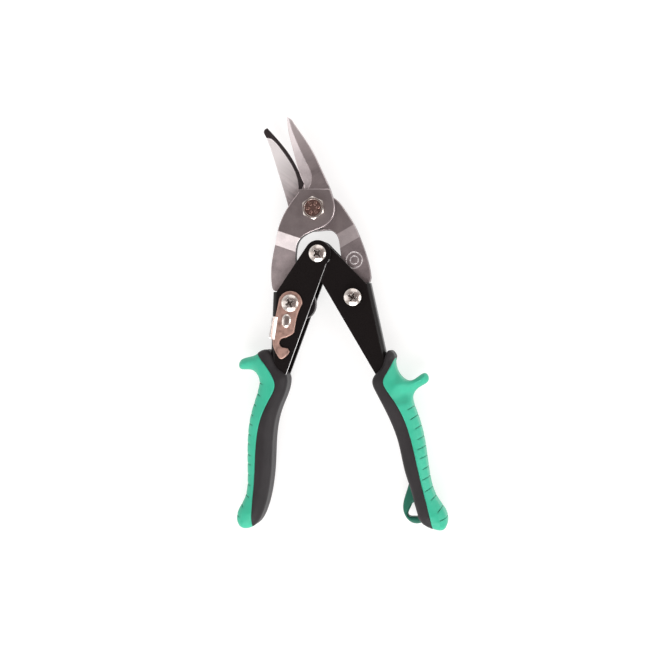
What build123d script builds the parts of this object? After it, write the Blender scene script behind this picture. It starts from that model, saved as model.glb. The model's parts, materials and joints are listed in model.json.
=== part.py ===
from build123d import *
import os
from math import atan2, cos, degrees, hypot, radians, sin

# Aviation snips, 250 mm class, with compound leverage.  Millimetres.
# The tool lies on its back: +Z is the side with the latch, +Y runs along the
# mechanism's symmetry line towards the blade tips, and the origin is on the
# jaw pivot at the rest plane.  The jaws are drawn open, as the spring leaves them.

# ---- pivots: a kite of two jaw tails and two handle levers
PIVOT_JAW = (0.0, 0.0)
PIVOT_HANDLE = (0.0, -26.6)
PIVOT_LEFT = (-18.6, -54.1)
PIVOT_RIGHT = (18.6, -54.1)

# ---- stack of layers across the tool
MID = 11.0
SHEAR_GAP = 0.03
JAW_T = 5.0
TAIL_HALF = 2.5
WALL = 1.8
LEFT_HALF = 7.15
RIGHT_HALF = 5.2
LATCH_T = 1.5
GRIP_TOP = 22.0

# ---- fasteners
BOLT_R = 4.0
BOLT_HEAD_AF = 12.0
BOLT_HEAD_H = 4.6
JAW_NUT_AF = 13.0
WASHER_R = 8.5
WASHER_T = 1.0
SCREW_R = 3.0
SCREW_HEAD_R = 5.15
SCREW_HEAD_H = 2.4
SCREW_RIM_H = 0.9
NECK_R = 2.3
NUT_AF = 9.0
NUT_T = 2.6
SCREW_END = 0.2
SPACER_R = 6.2
SNUG = 0.02
RUNNING = 0.05
OPEN_PIVOT_R = SCREW_R + 0.3

# ---- jaws
PIVOT_DISC_R = 12.1
JOGGLE_ANGLE = 24.2
JOGGLE_NEAR = 19.2
JOGGLE_FAR = 27.6
EDGE_LAND = 1.2

# ---- handle channels
EYE_R = 7.8
WEB_TOP_Y = -46.6
BEND_R = 3.0

# ---- opening spring
WIRE_R = 0.65
SPRING_R = 4.6
SPRING_PITCH = 1.5
SPRING_LEG = 15.5

# ---- grips
SKIN = 2.0
BAND_STEP = 0.5
LOOP_LOW = 5.0
LOOP_HIGH = 12.0


def slab(face, low, high):
    """A flat outline given thickness between two heights."""
    return Pos(0, 0, low) * extrude(face, amount=high - low, dir=(0, 0, 1))


def outline(*edges):
    return Face(Wire(list(edges)))


def flow(*points, tangents):
    """A smooth curve through points that starts and ends along given directions."""
    return Spline(*points, tangents=tangents, tangent_scalars=[1, 1])


def polygon(points):
    return Face(Wire.make_polygon([Vector(*p) for p in points], close=True))


def disc(centre, radius, low, high):
    return Pos(centre[0], centre[1], low) * Cylinder(
        radius, high - low, align=(Align.CENTER, Align.CENTER, Align.MIN))


def ring(centre, outer, inner, low, high):
    return disc(centre, outer, low, high) - disc(centre, inner, low - 1, high + 1)


def prism(direction_deg, profile, reach=90):
    """A section in (distance along direction, height) swept sideways both ways."""
    along = (cos(radians(direction_deg)), sin(radians(direction_deg)), 0)
    across = (along[1], -along[0], 0)
    plane = Plane(origin=(0, 0, 0), x_dir=along, z_dir=across)
    return extrude(plane * polygon(profile), amount=reach, both=True)


def hexagon(centre, across_flats, low, high, turn=0):
    shape = RegularPolygon(across_flats / 2, 6, major_radius=False, rotation=turn)
    return slab(Pos(centre[0], centre[1]) * shape, low, high)


# ------------------------------------------------------------------ jaws

def jaw_plate(face, head_low, head_high, side):
    """A forged plate whose tail is set over to the mid plane by a joggle."""
    low, high = MID - TAIL_HALF, MID + TAIL_HALF
    profile = [
        (-75, low), (-JOGGLE_FAR, low), (-JOGGLE_NEAR, head_low), (70, head_low),
        (70, head_high), (-JOGGLE_NEAR, head_high), (-JOGGLE_FAR, high), (-75, high)]
    return slab(face, 0, 24) & prism(90 + side * JOGGLE_ANGLE, profile)


def ground_bevel(edge, crease, edge_z, crease_z, far_x):
    """Waste between the cutting edge and the crease of the ground face."""
    def section(points, z):
        pts = [(x, y, z) for x, y in points]
        start, end = pts[0], pts[-1]
        return Face(Wire([
            Spline(*pts), Line(end, (far_x, end[1], z)),
            Line((far_x, end[1], z), (far_x, start[1], z)),
            Line((far_x, start[1], z), start)]))
    return loft([section(edge, edge_z), section(crease, crease_z)], ruled=True)


def front_jaw():
    cutting = [(-5.5, 15.6), (-8.0, 23.8), (-10.3, 36.6), (-12.2, 50.0), (-12.05, 56.2)]
    face = outline(
        Line((-12.05, 56.2), (-9.3, 54.1)),
        flow((-9.3, 54.1), (-4.0, 44.7), (1.9, 33.3), (6.5, 20.9), (10.2, 10.3),
             (PIVOT_DISC_R * cos(radians(8)), PIVOT_DISC_R * sin(radians(8))),
             tangents=[(2.2, -4.2), (sin(radians(8)), -cos(radians(8)))]),
        CenterArc((0, 0), PIVOT_DISC_R, 8, -80),
        flow((PIVOT_DISC_R * cos(radians(-72)), PIVOT_DISC_R * sin(radians(-72))),
             (-5.6, -14.2), (-11.2, -18.0), (-13.9, -24.5), (-14.3, -32.0),
             tangents=[(-0.95, -0.31), (0.05, -1)]),
        flow((-14.3, -32.0), (-10.6, -42.5), (-5.4, -51.0), (-4.9, -56.5), (-7.6, -61.9),
             (-12.0, -63.9), (-18.6, -62.4), tangents=[(0.05, -1), (-1, 0)]),
        CenterArc(PIVOT_LEFT, 8.3, -90, -90),
        Line((-26.9, -54.1), (-26.6, -46.2)),
        Line((-26.6, -46.2), (-28.6, -45.8)),
        flow((-28.6, -45.8), (-30.0, -41.5), (-29.5, -33.0), (-25.6, -17.9), (-19.9, -3.9),
             (-15.2, 3.0), (-10.1, 8.7), (-7.0, 12.6), (-5.5, 15.6),
             tangents=[(-1, 0.6), (0.35, 1)]),
        Spline(*cutting),
    )
    jaw = jaw_plate(face, MID + SHEAR_GAP, MID + JAW_T, -1)
    # the blade is thinner than the pivot boss and tapers to its tip
    jaw -= prism(84, [(11.4, 15.3), (62, 13.2), (62, 22), (11.4, 22)])
    # ground face, from its crease down to the cutting edge's land
    edge = [(-5.3, 11.9), (-5.5, 15.6), (-8.0, 23.8), (-10.3, 36.6), (-12.2, 50.0), (-12.1, 57.0)]
    crease = [(-2.8, 11.9), (0.3, 15.9), (1.5, 21.5), (-0.2, 28.0), (-4.5, 40.0), (-9.0, 57.0)]
    jaw -= ground_bevel(edge, crease, MID + SHEAR_GAP + EDGE_LAND, 15.6, -40)
    # relief behind the cutting land, on the shear side
    relief = [(-1.5, 19.0), (-3.6, 27.0), (-6.8, 39.0), (-9.6, 52.0), (-2.0, 47.0), (9.0, 22.0)]
    jaw -= slab(polygon(relief), MID, MID + 0.3)
    jaw -= disc(PIVOT_JAW, BOLT_R + SNUG, 0, 24)
    jaw -= disc(PIVOT_LEFT, SCREW_R + RUNNING, 0, 24)
    return jaw


def rear_jaw():
    cutting = [(-24.8, 51.2), (-18.0, 42.1), (-11.9, 32.2), (-8.3, 23.8), (-5.4, 16.0)]
    face = outline(
        Spline(*cutting),
        flow((-5.4, 16.0), (-2.6, 12.0), (3.0, 9.6), (11.5, 5.6), (17.4, -2.7),
             (21.9, -11.5), (25.5, -21.7), (28.3, -33.5), (29.2, -43.4),
             tangents=[(0.35, -1), (0, -1)]),
        Line((29.2, -43.4), (28.4, -46.0)),
        Line((28.4, -46.0), (26.6, -46.3)),
        Line((26.6, -46.3), (26.6, -54.1)),
        CenterArc(PIVOT_RIGHT, 8.0, 0, -180),
        flow((10.6, -54.1), (11.0, -47.0), (12.9, -34.0), (12.7, -24.0), (11.0, -16.4),
             (7.7, -13.4), (3.0, -12.9), tangents=[(0, 1), (-1, 0)]),
        flow((3.0, -12.9), (-6.0, -12.2), (-13.6, -5.5), (-16.5, 4.1), (-19.5, 18.8),
             (-23.0, 34.6), (-25.9, 45.6), tangents=[(-1, 0), (-0.3, 1)]),
        Line((-25.9, 45.6), (-26.6, 47.2)),
        Spline((-26.6, 47.2), (-26.9, 50.0), (-24.8, 51.2)),
    )
    jaw = jaw_plate(face, MID - JAW_T + SHEAR_GAP, MID - SHEAR_GAP, 1)
    jaw -= prism(100, [(11.4, 6.7), (62, 8.8), (62, 0), (11.4, 0)])
    edge = [(-3.6, 12.5), (-5.4, 16.0), (-8.3, 23.8), (-11.9, 32.2), (-18.0, 42.1), (-25.5, 52.0)]
    crease = [(-6.0, 12.5), (-9.6, 16.6), (-14.2, 23.0), (-18.2, 32.0), (-23.8, 41.5), (-30.0, 52.0)]
    jaw -= ground_bevel(edge, crease, MID - SHEAR_GAP - EDGE_LAND, 6.4, 20)
    # hollow behind the cutting land, on the shear side
    hollow = outline(
        Spline((-9.4, 13.0), (-9.5, 19.4), (-12.7, 28.9), (-17.8, 38.0), (-20.3, 41.7), (-23.0, 44.6)),
        Line((-23.0, 44.6), (-30.0, 46.6)),
        Line((-30.0, 46.6), (-30.0, 1.0)),
        Line((-30.0, 1.0), (-10.4, 1.0)),
        Line((-10.4, 1.0), (-9.4, 13.0)))
    jaw -= slab(hollow, MID - 0.35, MID + 1)
    # plain stamped ring on the tail
    stamp = (20.6, -32.4)
    jaw -= ring(stamp, 5.0, 4.3, MID + TAIL_HALF - 0.3, 20)
    jaw -= ring(stamp, 2.6, 2.1, MID + TAIL_HALF - 0.2, 20)
    jaw -= disc(PIVOT_JAW, BOLT_R + RUNNING, 0, 24)
    jaw -= disc(PIVOT_RIGHT, OPEN_PIVOT_R, 0, 24)
    return jaw


# ------------------------------------------------------------- jaw bolt

def jaw_bolt():
    top = MID + JAW_T + BOLT_HEAD_H
    head = hexagon(PIVOT_JAW, BOLT_HEAD_AF, MID + JAW_T, top, 30)
    # corners turned off by a shallow cone
    cone = Pos(0, 0, MID + JAW_T) * Cone(
        BOLT_HEAD_AF * 0.5 + BOLT_HEAD_H * 1.9, BOLT_HEAD_AF * 0.5, BOLT_HEAD_H,
        align=(Align.CENTER, Align.CENTER, Align.MIN))
    head = head & cone
    head -= disc(PIVOT_JAW, 5.0, top - 0.7, top + 1)
    petal = Pos(3.0, 0, top - 0.8) * extrude(Ellipse(1.35, 0.75), amount=0.65, taper=20)
    for step in range(6):
        head += Rot(0, 0, 60 * step) * petal
    shank = disc(PIVOT_JAW, BOLT_R, 0.4, MID + JAW_T)
    tip = chamfer(shank.edges().group_by(Axis.Z)[0], 0.6)
    return head + tip


def jaw_nut():
    nut = hexagon(PIVOT_JAW, JAW_NUT_AF, 0, MID - JAW_T - WASHER_T, 30)
    return nut - disc(PIVOT_JAW, BOLT_R + SNUG, -1, 8)


def jaw_washer():
    return ring(PIVOT_JAW, WASHER_R, BOLT_R + 0.1, MID - JAW_T - WASHER_T, MID - JAW_T)


# ------------------------------------------------------------- channels

def tangent_point(point, centre, radius, side):
    """Where a line from a point touches a circle."""
    dx, dy = point[0] - centre[0], point[1] - centre[1]
    reach = hypot(dx, dy)
    swing = degrees(atan2(dy, dx)) + side * degrees(atan2((reach**2 - radius**2)**0.5, radius))
    return (centre[0] + radius * cos(radians(swing)), centre[1] + radius * sin(radians(swing)))


def channel(side, half, wall_open):
    """A pressed U-channel: eye at the handle pivot, wide at the jaw screw,
    narrowing into the tang inside the grip.  side is -1 left, +1 right."""
    web = [(28.9, WEB_TOP_Y), (34.2, -88.0), (45.4, -122.0), (50.8, -168.0)]
    inner = [(46.2, -168.0), (39.0, -124.0), (26.3, -97.6)]
    shoulder = (26.4, WEB_TOP_Y)
    eye_out = tangent_point(shoulder, PIVOT_HANDLE, EYE_R, 1)
    eye_in = tangent_point(inner[-1], PIVOT_HANDLE, EYE_R - 1.0, -1)
    wall = polygon([(side * x, y) for x, y in
                    [eye_out, shoulder, *web, *inner, eye_in, PIVOT_HANDLE]])
    low, high = MID - half, MID + half
    body = slab(wall, low, high)
    corners = [e for e in body.edges().filter_by(GeomType.LINE)
               if abs(e.center().Z - low) < 0.01 or abs(e.center().Z - high) < 0.01]
    bend = [e for e in corners if on_path(e, web, side)]
    body = fillet(bend, BEND_R)
    body += disc(PIVOT_HANDLE, EYE_R, low, high)
    inside = [(x - WALL * 1.01, y) for x, y in web]
    inside[0] = (inside[0][0] + 0.5, WEB_TOP_Y + 4)
    hollow = polygon([(side * x, y) for x, y in
                      [*inside, (inside[-1][0], -180), (-20, -180), (-20, -10), (inside[0][0], -10)]])
    space = slab(hollow, low + WALL, high - WALL)
    body -= space
    for pivot in (PIVOT_HANDLE, (side * PIVOT_RIGHT[0], PIVOT_RIGHT[1])):
        body -= disc(pivot, SCREW_R + wall_open, 0, 24)
    return body


def on_path(edge, path, side):
    """True where an edge lies along one leg of a path."""
    middle = edge.center()
    for (x0, y0), (x1, y1) in zip(path, path[1:]):
        if hypot(side * (x0 + x1) / 2 - middle.X, (y0 + y1) / 2 - middle.Y) < 0.1:
            return True
    return False


# ---------------------------------------------------------------- grips

def beyond(points, far_x):
    """Everything between a curve and a distant upright line."""
    start, end = points[0], points[-1]
    return outline(
        Spline(*points), Line(end, (far_x, end[1])),
        Line((far_x, end[1]), (far_x, start[1])), Line((far_x, start[1]), start))


def grip(side, rim, boundary, core_line, tang):
    """Black core and green cover.  The cover wraps the outer side of the core
    and meets its raised black band along the boundary line, front and back."""
    whole = outline(Spline(*rim, periodic=True))
    wrap = slab(beyond(boundary, side * 90), 0, GRIP_TOP)
    band = slab(whole, BAND_STEP, GRIP_TOP - BAND_STEP) - wrap
    inside = slab(whole, SKIN, GRIP_TOP - SKIN) & slab(beyond(core_line, 0), 0, GRIP_TOP)
    core = band + inside
    cover = (slab(whole, 0, GRIP_TOP) & wrap) - core
    return core - tang, cover


def left_grip(tang):
    rim = [(-41.5, -81.6), (-47.5, -83.4), (-54.0, -86.0), (-54.4, -89.2), (-47.5, -91.0),
           (-42.2, -96.0), (-43.4, -103.8), (-48.6, -116.4), (-52.3, -133.2), (-54.0, -152.0),
           (-57.4, -166.8), (-62.9, -177.4), (-60.9, -183.4), (-53.2, -183.3),
           (-46.6, -175.8), (-41.0, -159.8), (-38.6, -147.3), (-36.3, -130.7),
           (-31.2, -114.6), (-24.9, -100.0), (-25.2, -95.6), (-29.4, -91.6), (-32.4, -84.6),
           (-35.6, -80.0)]
    boundary = [(-44.5, -77.0), (-41.5, -81.6), (-33.6, -94.6), (-31.9, -101.0), (-35.8, -109.0),
                (-42.0, -119.7), (-46.3, -135.1), (-49.6, -158.0), (-52.2, -172.0), (-53.6, -188.0)]
    core_line = [(-38.5, -76.0), (-40.4, -86.0), (-40.0, -97.0), (-41.4, -105.0), (-46.4, -117.0),
                 (-50.1, -133.5), (-51.8, -152.0), (-55.2, -167.5), (-57.5, -176.0), (-54.0, -188.0)]
    return grip(-1, rim, boundary, core_line, tang)


def right_grip(tang):
    rim = [(39.6, -91.4), (41.2, -101.6), (45.4, -105.2), (50.5, -104.0), (56.4, -101.9),
           (57.6, -105.2), (51.8, -109.6), (47.4, -114.8), (48.6, -123.5), (51.8, -140.5),
           (52.9, -159.9), (56.5, -175.3), (61.2, -186.2), (58.9, -192.2), (52.4, -191.4),
           (46.1, -187.0), (42.9, -173.4), (39.6, -158.1), (37.0, -139.6),
           (32.8, -125.1), (26.6, -110.0), (25.2, -103.4), (27.6, -99.6), (31.4, -96.2),
           (34.0, -90.0), (36.8, -86.6)]
    boundary = [(42.8, -86.0), (39.6, -91.4), (34.6, -99.4), (32.0, -104.6), (33.7, -109.7),
                (39.4, -120.1), (43.8, -133.1), (46.7, -151.1), (49.3, -169.5), (51.4, -181.3),
                (52.6, -196.0)]
    core_line = [(37.8, -84.0), (38.2, -92.0), (40.6, -104.0), (45.4, -114.8), (46.4, -124.0),
                 (49.6, -140.8), (50.8, -160.0), (54.0, -176.0), (55.5, -185.0), (54.0, -196.0)]
    core, cover = grip(1, rim, boundary, core_line, tang)
    # hanging loop, a tongue of the cover's plastic held in the core's foot
    loop = outline(
        Spline((41.2, -162.0), (38.0, -171.0), (35.8, -180.5), (38.6, -186.6), (46.0, -188.2)),
        Line((46.0, -188.2), (52.0, -189.0)), Line((52.0, -189.0), (52.0, -180.0)),
        Line((52.0, -180.0), (46.0, -178.0)), Line((46.0, -178.0), (41.2, -162.0)))
    corners = [(42.9, -174.0), (38.0, -182.6), (38.9, -184.3), (45.0, -184.8)]
    hole = fillet(polygon(corners).vertices(), 1.2)
    tab = slab(loop, LOOP_LOW, LOOP_HIGH)
    through = slab(hole, 0, GRIP_TOP)
    return core - tab - through, cover, tab - through


# ------------------------------------------------------------- fasteners

def screw(centre, seat, bottom, neck=0.0):
    """A domed pan-head screw with a cross recess.  A neck lifts the head clear."""
    base = seat + neck
    dome = SCREW_HEAD_H - SCREW_RIM_H
    profile = outline(
        Line((0, base), (SCREW_HEAD_R, base)),
        Line((SCREW_HEAD_R, base), (SCREW_HEAD_R, base + SCREW_RIM_H)),
        ThreePointArc((SCREW_HEAD_R, base + SCREW_RIM_H),
                      (SCREW_HEAD_R * 0.62, base + SCREW_RIM_H + dome * 0.72),
                      (0, base + SCREW_HEAD_H)),
        Line((0, base + SCREW_HEAD_H), (0, base)))
    head = revolve(Plane.XZ * profile, Axis.Z)
    slot = Pos(0, 0, base + SCREW_HEAD_H - 1.5) * Box(
        5.4, 1.25, 3, align=(Align.CENTER, Align.CENTER, Align.MIN))
    head -= Rot(0, 0, 35) * slot
    head -= Rot(0, 0, 125) * slot
    head = Pos(centre[0], centre[1]) * head
    body = head + disc(centre, SCREW_R, bottom, seat)
    if neck:
        body += disc(centre, NECK_R, seat, base)
    return body


def back_nut(centre, seat):
    nut = hexagon(centre, NUT_AF, seat - NUT_T, seat, 10)
    return nut - disc(centre, SCREW_R + SNUG, 0, 24)


def spacers(pivot, half):
    """The pair of flat washers that centre a jaw tail between channel walls."""
    inside, tail = half - WALL, TAIL_HALF + RUNNING
    front = ring(pivot, SPACER_R, SCREW_R + RUNNING, MID + tail, MID + inside)
    back = ring(pivot, SPACER_R, SCREW_R + RUNNING, MID - inside, MID - tail)
    return front + back


# ----------------------------------------------------------------- latch

def latch():
    """Hook plate that swings from the left channel to catch the neck of the
    right jaw screw and hold the handles shut."""
    low = MID + LEFT_HALF + RUNNING
    high = low + LATCH_T
    eye = 7.1
    eye_left = (PIVOT_LEFT[0] - eye * cos(radians(8)), PIVOT_LEFT[1] + eye * sin(radians(8)))
    eye_right = (PIVOT_LEFT[0] + eye * cos(radians(-10)), PIVOT_LEFT[1] + eye * sin(radians(-10)))
    slot = (-24.4, -77.0)
    slot_r = 2.9
    plate = outline(
        CenterArc(PIVOT_LEFT, eye, 172, -182),
        Spline(eye_right, (-15.1, -61.8), (-17.2, -68.6), (-17.9, -71.4)),
        Line((-17.9, -71.4), (-19.4, -72.6)),
        Line((-19.4, -72.6), (slot[0] + 1.1, slot[1] + slot_r)),
        Line((slot[0] + 1.1, slot[1] + slot_r), (slot[0], slot[1] + slot_r)),
        CenterArc(slot, slot_r, 90, 180),
        Line((slot[0], slot[1] - slot_r), (-22.6, -80.4)),
        Line((-22.6, -80.4), (-21.6, -82.2)),
        Spline((-21.6, -82.2), (-24.9, -85.6), (-27.6, -86.2), (-29.2, -84.0), (-31.2, -77.8),
               (-30.4, -71.1), (-28.2, -61.5), eye_left),
    )
    body = chamfer(slab(plate, low, high).edges().group_by(Axis.Z)[-1], 0.25)
    # thumb tab, bent forward from the outer edge
    foot = (-30.5, -74.4)
    out = (-0.972, 0.236)
    plane = Plane(origin=(foot[0], foot[1], 0), x_dir=(*out, 0), z_dir=(0.236, 0.972, 0))
    section = [(-1.4, low), (0.1, low), (2.7, low + 3.2), (1.8, low + 4.5), (-0.6, high), (-1.4, high)]
    tab = extrude(plane * polygon(section), amount=13.4)
    body += tab
    # pressed-up oval boss that the thumb finds
    boss = extrude(Rot(0, 0, -12) * Ellipse(2.1, 3.9), amount=1.0, taper=25)
    body += Pos(-21.3, -64.3, high - 0.05) * boss
    body -= disc(PIVOT_LEFT, SCREW_R + RUNNING, 0, 24)
    return body


# ---------------------------------------------------------- opening spring

def handle_spring():
    """Torsion spring round the handle pivot.  Its legs press the jaw tails
    apart, which opens the blades and the handles together."""
    lead = 48.6
    turns = 2 + (180 + 2 * lead) / 360
    height = SPRING_PITCH * turns
    coil = Helix(pitch=SPRING_PITCH, height=height, radius=SPRING_R)
    body = sweep(Plane(origin=coil @ 0, z_dir=coil % 0) * Circle(WIRE_R), path=coil, is_frenet=True)
    body = Pos(0, 0, MID - height / 2) * Rot(0, 0, -lead) * body
    for way, level in ((-1, -height / 2), (1, height / 2)):
        foot = (-way * SPRING_R * cos(radians(lead)), -SPRING_R * sin(radians(lead)), MID + level)
        run = Vector(way * sin(radians(lead)), -cos(radians(lead)), 0)
        root = Vector(*foot) - run * 0.4
        body += extrude(Plane(origin=root, z_dir=run) * Circle(WIRE_R - 0.03), amount=SPRING_LEG)
    return Pos(*PIVOT_HANDLE, 0) * body


# ------------------------------------------------------------------ build

def build():
    left_top, left_back = MID + LEFT_HALF, MID - LEFT_HALF
    right_top, right_back = MID + RIGHT_HALF, MID - RIGHT_HALF
    latch_top = left_top + 2 * RUNNING + LATCH_T
    past_nut = NUT_T + SCREW_END
    left_channel = channel(-1, LEFT_HALF, RUNNING)
    right_channel = channel(1, RIGHT_HALF, RUNNING)
    left_core, left_cover = left_grip(left_channel)
    right_core, right_cover, hang_loop = right_grip(right_channel)
    return {
        "front_jaw": front_jaw(),
        "rear_jaw": rear_jaw(),
        "jaw_bolt": jaw_bolt(),
        "jaw_washer": jaw_washer(),
        "jaw_nut": jaw_nut(),
        "left_channel": left_channel,
        "right_channel": right_channel,
        "left_grip_core": left_core,
        "left_grip_cover": left_cover,
        "right_grip_core": right_core,
        "right_grip_cover": right_cover,
        "hang_loop": hang_loop,
        "handle_pivot_screw": screw(PIVOT_HANDLE, left_top, left_back - past_nut),
        "handle_pivot_nut": back_nut(PIVOT_HANDLE, left_back),
        "left_jaw_screw": screw(PIVOT_LEFT, latch_top, left_back - past_nut),
        "left_jaw_nut": back_nut(PIVOT_LEFT, left_back),
        "right_jaw_screw": screw(PIVOT_RIGHT, right_top, right_back - past_nut,
                                 latch_top + RUNNING - right_top),
        "right_jaw_nut": back_nut(PIVOT_RIGHT, right_back),
        "left_tail_spacers": spacers(PIVOT_LEFT, LEFT_HALF),
        "right_tail_washers": spacers(PIVOT_RIGHT, RIGHT_HALF),
        "latch": latch(),
        "handle_spring": handle_spring(),
    }


os.makedirs("parts", exist_ok=True)
for name, shape in build().items():
    export_step(shape, f"parts/{name}.step")
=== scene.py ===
import json
from math import atan2, ceil, cos, pi, radians, sin, sqrt

import bpy
import numpy as np
from mathutils import Matrix, Vector
from mathutils.geometry import delaunay_2d_cdt


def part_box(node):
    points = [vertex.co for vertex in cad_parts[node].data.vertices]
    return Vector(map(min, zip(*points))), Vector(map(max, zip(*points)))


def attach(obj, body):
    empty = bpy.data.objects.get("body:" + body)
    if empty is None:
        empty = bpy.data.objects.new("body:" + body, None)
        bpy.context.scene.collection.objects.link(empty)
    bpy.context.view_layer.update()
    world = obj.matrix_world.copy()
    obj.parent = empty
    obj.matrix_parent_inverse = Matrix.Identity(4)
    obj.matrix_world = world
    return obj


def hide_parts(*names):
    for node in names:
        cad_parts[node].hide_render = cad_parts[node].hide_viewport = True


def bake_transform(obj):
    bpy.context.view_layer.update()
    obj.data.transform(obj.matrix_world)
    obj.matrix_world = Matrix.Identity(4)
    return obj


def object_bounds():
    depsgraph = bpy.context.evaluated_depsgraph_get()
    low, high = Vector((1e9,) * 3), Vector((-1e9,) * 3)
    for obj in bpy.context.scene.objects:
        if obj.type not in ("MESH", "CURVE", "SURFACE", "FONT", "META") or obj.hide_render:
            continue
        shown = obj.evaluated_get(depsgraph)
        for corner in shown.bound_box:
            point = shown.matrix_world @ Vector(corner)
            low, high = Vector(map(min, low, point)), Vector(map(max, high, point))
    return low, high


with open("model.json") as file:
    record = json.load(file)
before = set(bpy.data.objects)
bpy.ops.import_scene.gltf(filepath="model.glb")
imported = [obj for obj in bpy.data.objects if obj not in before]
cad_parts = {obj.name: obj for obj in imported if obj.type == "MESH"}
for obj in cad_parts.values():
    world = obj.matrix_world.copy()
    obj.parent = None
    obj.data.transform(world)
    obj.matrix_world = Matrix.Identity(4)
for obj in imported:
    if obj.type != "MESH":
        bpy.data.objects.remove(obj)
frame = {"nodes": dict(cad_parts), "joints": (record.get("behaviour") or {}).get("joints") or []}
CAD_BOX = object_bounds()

# Aviation snips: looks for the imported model.  The tool lies on its back, +Z is the
# latch side and +Y runs to the blade tips.  Shapes are worked out in millimetres and
# written to the meshes in metres.
MM = 0.001
TINY = 1e-12
FAR = 1e9
NODES = frame["nodes"]
JOINTS = {joint["name"]: joint for joint in frame["joints"]}


def pivot(joint):
    """A joint's axis in the plan, in millimetres."""
    place = JOINTS[joint]["pos_m"]
    return np.array([place[0], place[1]]) / MM


HANDLE_PIVOT = pivot("handle_squeeze")
MID = JOINTS["blade_pivot"]["pos_m"][2] / MM


# ------------------------------------------------------------ camera and light

CAMERA_TILT = radians(10.0)
CAMERA_ROLL = radians(5.17)
CAMERA_DISTANCE = 700 * MM
CAMERA_LENS = 65.71
CAMERA_SENSOR = 36
CAMERA_CLIP = (0.01, 20)
CAMERA_AIM = Vector((-0.65, -68.59, MID)) * MM

LIGHT_AIM = Vector((0, -60, 0)) * MM
SOFTBOXES = (
    ("foot_light", (-0.10, -0.85, 0.70), (0.9, 0.7), 8.0),
    ("head_light", (0.15, 0.80, 0.75), (0.8, 0.6), 1.2),
    ("left_light", (-0.85, -0.05, 0.65), (0.6, 0.9), 1.2),
    ("right_light", (0.90, -0.25, 0.60), (0.6, 0.9), 4.4),
)
SKY_LOW, SKY_TOP = (1.0, 0.99, 0.98, 1), (0.20, 0.16, 0.155, 1)
SKY_BETWEEN = ((0.55, (0.66, 0.645, 0.64, 1)), (0.84, (0.30, 0.255, 0.25, 1)))
FLOOR_HALF = 4.0
FLOOR_GAP = 0.2 * MM
FLOOR_GLOW = 0.72


def camera():
    """Looks down on the tool from a little to the right, rolled clockwise."""
    level = Vector((cos(CAMERA_ROLL), -sin(CAMERA_ROLL), 0))
    up = Vector((sin(CAMERA_ROLL), cos(CAMERA_ROLL), 0))
    back = level * sin(CAMERA_TILT) + Vector((0, 0, cos(CAMERA_TILT)))
    right = up.cross(back)
    data = bpy.data.cameras.new("camera")
    data.lens = CAMERA_LENS
    data.sensor_width = CAMERA_SENSOR
    data.clip_start, data.clip_end = CAMERA_CLIP
    eye = bpy.data.objects.new("camera", data)
    turn = Matrix((right, up, back)).transposed().to_4x4()
    eye.matrix_world = Matrix.Translation(CAMERA_AIM + back * CAMERA_DISTANCE) @ turn
    bpy.context.scene.collection.objects.link(eye)
    bpy.context.scene.camera = eye


def softbox(name, place, size, power):
    """A white panel of light at a place in metres, turned to the middle of the tool."""
    data = bpy.data.lights.new(name, "AREA")
    data.shape = "RECTANGLE"
    data.size, data.size_y = size
    data.energy = power
    lamp = bpy.data.objects.new(name, data)
    lamp.location = place
    lamp.rotation_euler = (LIGHT_AIM - Vector(place)).to_track_quat("-Z", "Y").to_euler()
    bpy.context.scene.collection.objects.link(lamp)


def sky():
    """A dim warm ceiling with bright walls, so polished metal reads dark with light rims."""
    world = bpy.data.worlds.new("studio")
    bpy.context.scene.world = world
    world.use_nodes = True
    tree = world.node_tree
    where = tree.nodes.new("ShaderNodeTexCoord")
    split = tree.nodes.new("ShaderNodeSeparateXYZ")
    tree.links.new(where.outputs["Generated"], split.inputs[0])
    ramp = tree.nodes.new("ShaderNodeValToRGB")
    stops = ramp.color_ramp.elements
    stops[0].color, stops[1].color = SKY_LOW, SKY_TOP
    for place, shade in SKY_BETWEEN:
        stops.new(place).color = shade
    tree.links.new(split.outputs["Z"], ramp.inputs[0])
    tree.links.new(ramp.outputs[0], tree.nodes["Background"].inputs["Color"])
    tree.nodes["Background"].inputs["Strength"].default_value = 1.0


def floor():
    """A wide pale sheet just under the tool, partly lit from within to keep shadows faint."""
    low = CAD_BOX[0].z - FLOOR_GAP
    plan = ((-1, -1), (1, -1), (1, 1), (-1, 1))
    corners = [(x * FLOOR_HALF, y * FLOOR_HALF, low) for x, y in plan]
    mesh = bpy.data.meshes.new("floor")
    mesh.from_pydata(corners, [], [(0, 1, 2, 3)])
    sheet = bpy.data.objects.new("floor", mesh)
    bpy.context.scene.collection.objects.link(sheet)
    paper = Finish("floor_paper", (0.36, 0.36, 0.36), 0.9, emission_color=(1.0, 0.995, 0.99, 1),
                   emission_strength=FLOOR_GLOW, specular_ior_level=0.1)
    paper.colour(paper.clouded(paper.noise(3.0, 2), (0.35, 0.348, 0.347), (0.37, 0.368, 0.366)))
    mesh.materials.append(paper.material)


# ------------------------------------------------------------------- materials

BEVEL_SAMPLES = 6
BEVEL_START = 0.995


def scaled(tone, factor):
    """A darker or lighter tone, no brighter than white."""
    return tuple(min(1, channel * factor) for channel in tone)


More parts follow.
